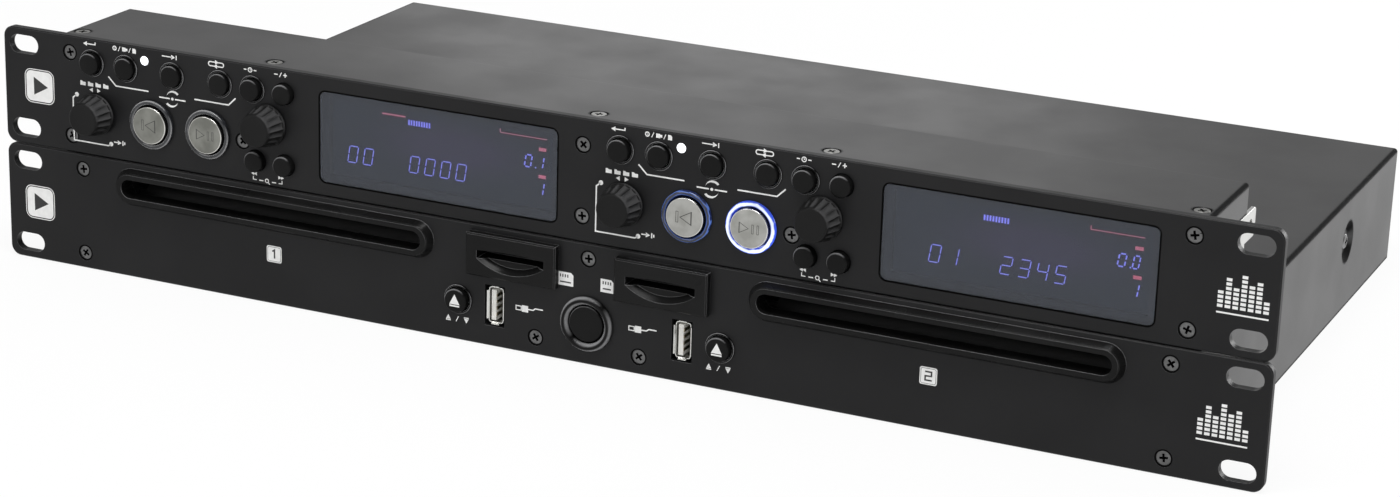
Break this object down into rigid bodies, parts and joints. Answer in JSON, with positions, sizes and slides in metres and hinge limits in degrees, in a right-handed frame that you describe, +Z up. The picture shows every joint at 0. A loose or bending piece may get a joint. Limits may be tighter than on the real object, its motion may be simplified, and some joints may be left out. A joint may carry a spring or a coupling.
{
  "type": "dual disc player",
  "caption": "Rack-mount dual slot-in disc player with a stacked control unit: push buttons, turning knobs, display windows, card and USB sockets.",
  "frame": {"origin": "middle of the whole outline, on the surface that the player unit stands on", "axes": "+X to the right along the front panels, +Y back into the units, +Z up"},
  "size_m": [0.483, 0.278, 0.0884],
  "materials": {
    "panel_paint": "satin black powder paint on a machined panel",
    "case_paint": "satin black paint on folded sheet steel",
    "bare_steel": "zinc-plated sheet steel",
    "window_glass": "smoked clear plastic window, glossy",
    "display_tube": "dark display tube with blue-violet lit segments",
    "ring_clear": "clear moulded light guide",
    "cap_metal": "satin metal with a polished bevel",
    "cap_black": "fine satin moulded plastic",
    "ring_black": "semi-gloss moulded plastic",
    "knob_black": "soft-touch coating on a moulded knob",
    "spindle_steel": "ground steel",
    "board_green": "green solder mask",
    "switch_black": "moulded switch bodies",
    "screw_black": "black zinc plating",
    "screw_zinc": "bright zinc plating",
    "lip_black": "satin moulded plastic",
    "socket_steel": "nickel-plated pressed steel",
    "tongue_white": "off-white moulded plastic with plated contacts",
    "jack_metal": "nickel-plated brass",
    "inlet_black": "moulded plastic with plated pins",
    "supply_parts": "board with transformer, capacitors and heat sink",
    "drive_steel": "zinc-plated pressed steel",
    "roller_rubber": "soft black rubber",
    "hub_plastic": "moulded plastic hub",
    "sled_plastic": "glass-filled moulded plastic",
    "lamp_white": "lit white lamp lens"
  },
  "bodies": {
    "case": {"control_front_panel": "panel_paint", "control_chassis": "bare_steel", "control_cover": "case_paint", "display_windows": "window_glass", "display_modules": "display_tube", "light_rings": "ring_clear", "button_bezels": "ring_black", "indicator_lamps": "lamp_white", "circuit_boards": "board_green", "panel_switches": "switch_black", "link_sockets": "socket_steel", "player_front_panel": "panel_paint", "player_chassis": "case_paint", "player_cover": "case_paint", "slot_bezels": "lip_black", "card_readers": "lip_black", "usb_sockets": "socket_steel", "usb_tongues": "tongue_white", "push_rings": "ring_black", "audio_sockets": "jack_metal", "mains_inlet": "inlet_black", "power_supply": "supply_parts", "panel_screws": "screw_black", "cover_screws": "screw_zinc", "drive_frames": "drive_steel"},
    "back_button_1": {"back_button_1": "cap_black"},
    "source_button_1": {"source_button_1": "cap_black"},
    "single_button_1": {"single_button_1": "cap_black"},
    "repeat_button_1": {"repeat_button_1": "cap_black"},
    "time_button_1": {"time_button_1": "cap_black"},
    "pitch_button_1": {"pitch_button_1": "cap_black"},
    "search_back_button_1": {"search_back_button_1": "cap_black"},
    "search_forward_button_1": {"search_forward_button_1": "cap_black"},
    "cue_button_1": {"cue_button_1": "cap_metal"},
    "play_button_1": {"play_button_1": "cap_metal"},
    "track_spindle_1": {"track_spindle_1": "spindle_steel"},
    "track_knob_1": {"track_knob_1": "knob_black"},
    "pitch_knob_1": {"pitch_knob_1": "knob_black"},
    "back_button_2": {"back_button_2": "cap_black"},
    "source_button_2": {"source_button_2": "cap_black"},
    "single_button_2": {"single_button_2": "cap_black"},
    "repeat_button_2": {"repeat_button_2": "cap_black"},
    "time_button_2": {"time_button_2": "cap_black"},
    "pitch_button_2": {"pitch_button_2": "cap_black"},
    "search_back_button_2": {"search_back_button_2": "cap_black"},
    "search_forward_button_2": {"search_forward_button_2": "cap_black"},
    "cue_button_2": {"cue_button_2": "cap_metal"},
    "play_button_2": {"play_button_2": "cap_metal"},
    "track_spindle_2": {"track_spindle_2": "spindle_steel"},
    "track_knob_2": {"track_knob_2": "knob_black"},
    "pitch_knob_2": {"pitch_knob_2": "knob_black"},
    "eject_button_1": {"eject_button_1": "cap_black"},
    "eject_button_2": {"eject_button_2": "cap_black"},
    "power_button": {"power_button": "cap_black"},
    "loading_roller_1": {"loading_roller_1": "roller_rubber"},
    "turntable_1": {"turntable_1": "hub_plastic"},
    "laser_sled_1": {"laser_sled_1": "sled_plastic"},
    "loading_roller_2": {"loading_roller_2": "roller_rubber"},
    "turntable_2": {"turntable_2": "hub_plastic"},
    "laser_sled_2": {"laser_sled_2": "sled_plastic"}
  },
  "joints": [
    {"name": "back_press_1", "type": "slide", "parent": "case", "child": "back_button_1", "axis": [0, 1, 0], "range_m": [0, 0.0008], "stiffness_N_per_m": 300},
    {"name": "source_press_1", "type": "slide", "parent": "case", "child": "source_button_1", "axis": [0, 1, 0], "range_m": [0, 0.0008], "stiffness_N_per_m": 300},
    {"name": "single_press_1", "type": "slide", "parent": "case", "child": "single_button_1", "axis": [0, 1, 0], "range_m": [0, 0.0008], "stiffness_N_per_m": 300},
    {"name": "repeat_press_1", "type": "slide", "parent": "case", "child": "repeat_button_1", "axis": [0, 1, 0], "range_m": [0, 0.0008], "stiffness_N_per_m": 300},
    {"name": "time_press_1", "type": "slide", "parent": "case", "child": "time_button_1", "axis": [0, 1, 0], "range_m": [0, 0.0008], "stiffness_N_per_m": 300},
    {"name": "pitch_press_1", "type": "slide", "parent": "case", "child": "pitch_button_1", "axis": [0, 1, 0], "range_m": [0, 0.0008], "stiffness_N_per_m": 300},
    {"name": "search_back_press_1", "type": "slide", "parent": "case", "child": "search_back_button_1", "axis": [0, 1, 0], "range_m": [0, 0.0008], "stiffness_N_per_m": 300},
    {"name": "search_forward_press_1", "type": "slide", "parent": "case", "child": "search_forward_button_1", "axis": [0, 1, 0], "range_m": [0, 0.0008], "stiffness_N_per_m": 300},
    {"name": "cue_press_1", "type": "slide", "parent": "case", "child": "cue_button_1", "axis": [0, 1, 0], "range_m": [0, 0.0015], "stiffness_N_per_m": 250},
    {"name": "play_press_1", "type": "slide", "parent": "case", "child": "play_button_1", "axis": [0, 1, 0], "range_m": [0, 0.0015], "stiffness_N_per_m": 250},
    {"name": "track_press_1", "type": "slide", "parent": "case", "child": "track_spindle_1", "axis": [0, 1, 0], "range_m": [0, 0.0005], "stiffness_N_per_m": 800},
    {"name": "track_turn_1", "type": "hinge", "parent": "track_spindle_1", "child": "track_knob_1", "pos_m": [-0.2011, -0.1345, 0.06045], "axis": [0, 1, 0], "continuous": true},
    {"name": "pitch_turn_1", "type": "hinge", "parent": "case", "child": "pitch_knob_1", "pos_m": [-0.1284, -0.1345, 0.06715], "axis": [0, 1, 0], "continuous": true},
    {"name": "back_press_2", "type": "slide", "parent": "case", "child": "back_button_2", "axis": [0, 1, 0], "range_m": [0, 0.0008], "stiffness_N_per_m": 300},
    {"name": "source_press_2", "type": "slide", "parent": "case", "child": "source_button_2", "axis": [0, 1, 0], "range_m": [0, 0.0008], "stiffness_N_per_m": 300},
    {"name": "single_press_2", "type": "slide", "parent": "case", "child": "single_button_2", "axis": [0, 1, 0], "range_m": [0, 0.0008], "stiffness_N_per_m": 300},
    {"name": "repeat_press_2", "type": "slide", "parent": "case", "child": "repeat_button_2", "axis": [0, 1, 0], "range_m": [0, 0.0008], "stiffness_N_per_m": 300},
    {"name": "time_press_2", "type": "slide", "parent": "case", "child": "time_button_2", "axis": [0, 1, 0], "range_m": [0, 0.0008], "stiffness_N_per_m": 300},
    {"name": "pitch_press_2", "type": "slide", "parent": "case", "child": "pitch_button_2", "axis": [0, 1, 0], "range_m": [0, 0.0008], "stiffness_N_per_m": 300},
    {"name": "search_back_press_2", "type": "slide", "parent": "case", "child": "search_back_button_2", "axis": [0, 1, 0], "range_m": [0, 0.0008], "stiffness_N_per_m": 300},
    {"name": "search_forward_press_2", "type": "slide", "parent": "case", "child": "search_forward_button_2", "axis": [0, 1, 0], "range_m": [0, 0.0008], "stiffness_N_per_m": 300},
    {"name": "cue_press_2", "type": "slide", "parent": "case", "child": "cue_button_2", "axis": [0, 1, 0], "range_m": [0, 0.0015], "stiffness_N_per_m": 250},
    {"name": "play_press_2", "type": "slide", "parent": "case", "child": "play_button_2", "axis": [0, 1, 0], "range_m": [0, 0.0015], "stiffness_N_per_m": 250},
    {"name": "track_press_2", "type": "slide", "parent": "case", "child": "track_spindle_2", "axis": [0, 1, 0], "range_m": [0, 0.0005], "stiffness_N_per_m": 800},
    {"name": "track_turn_2", "type": "hinge", "parent": "track_spindle_2", "child": "track_knob_2", "pos_m": [0.0129, -0.1345, 0.06045], "axis": [0, 1, 0], "continuous": true},
    {"name": "pitch_turn_2", "type": "hinge", "parent": "case", "child": "pitch_knob_2", "pos_m": [0.0856, -0.1345, 0.06715], "axis": [0, 1, 0], "continuous": true},
    {"name": "eject_press_1", "type": "slide", "parent": "case", "child": "eject_button_1", "axis": [0, 1, 0], "range_m": [0, 0.0008], "stiffness_N_per_m": 300},
    {"name": "eject_press_2", "type": "slide", "parent": "case", "child": "eject_button_2", "axis": [0, 1, 0], "range_m": [0, 0.0008], "stiffness_N_per_m": 300},
    {"name": "power_press", "type": "slide", "parent": "case", "child": "power_button", "axis": [0, 1, 0], "range_m": [0, 0.003], "stiffness_N_per_m": 250},
    {"name": "roller_turn_1", "type": "hinge", "parent": "case", "child": "loading_roller_1", "pos_m": [-0.127, -0.1145, 0.0282], "axis": [1, 0, 0], "continuous": true},
    {"name": "disc_turn_1", "type": "hinge", "parent": "case", "child": "turntable_1", "pos_m": [-0.127, -0.0515, 0.028], "axis": [0, 0, 1], "continuous": true},
    {"name": "sled_slide_1", "type": "slide", "parent": "case", "child": "laser_sled_1", "axis": [0, 1, 0], "range_m": [0, 0.033]},
    {"name": "roller_turn_2", "type": "hinge", "parent": "case", "child": "loading_roller_2", "pos_m": [0.127, -0.1145, 0.0282], "axis": [1, 0, 0], "continuous": true},
    {"name": "disc_turn_2", "type": "hinge", "parent": "case", "child": "turntable_2", "pos_m": [0.127, -0.0515, 0.028], "axis": [0, 0, 1], "continuous": true},
    {"name": "sled_slide_2", "type": "slide", "parent": "case", "child": "laser_sled_2", "axis": [0, 1, 0], "range_m": [0, 0.033]}
  ]
}
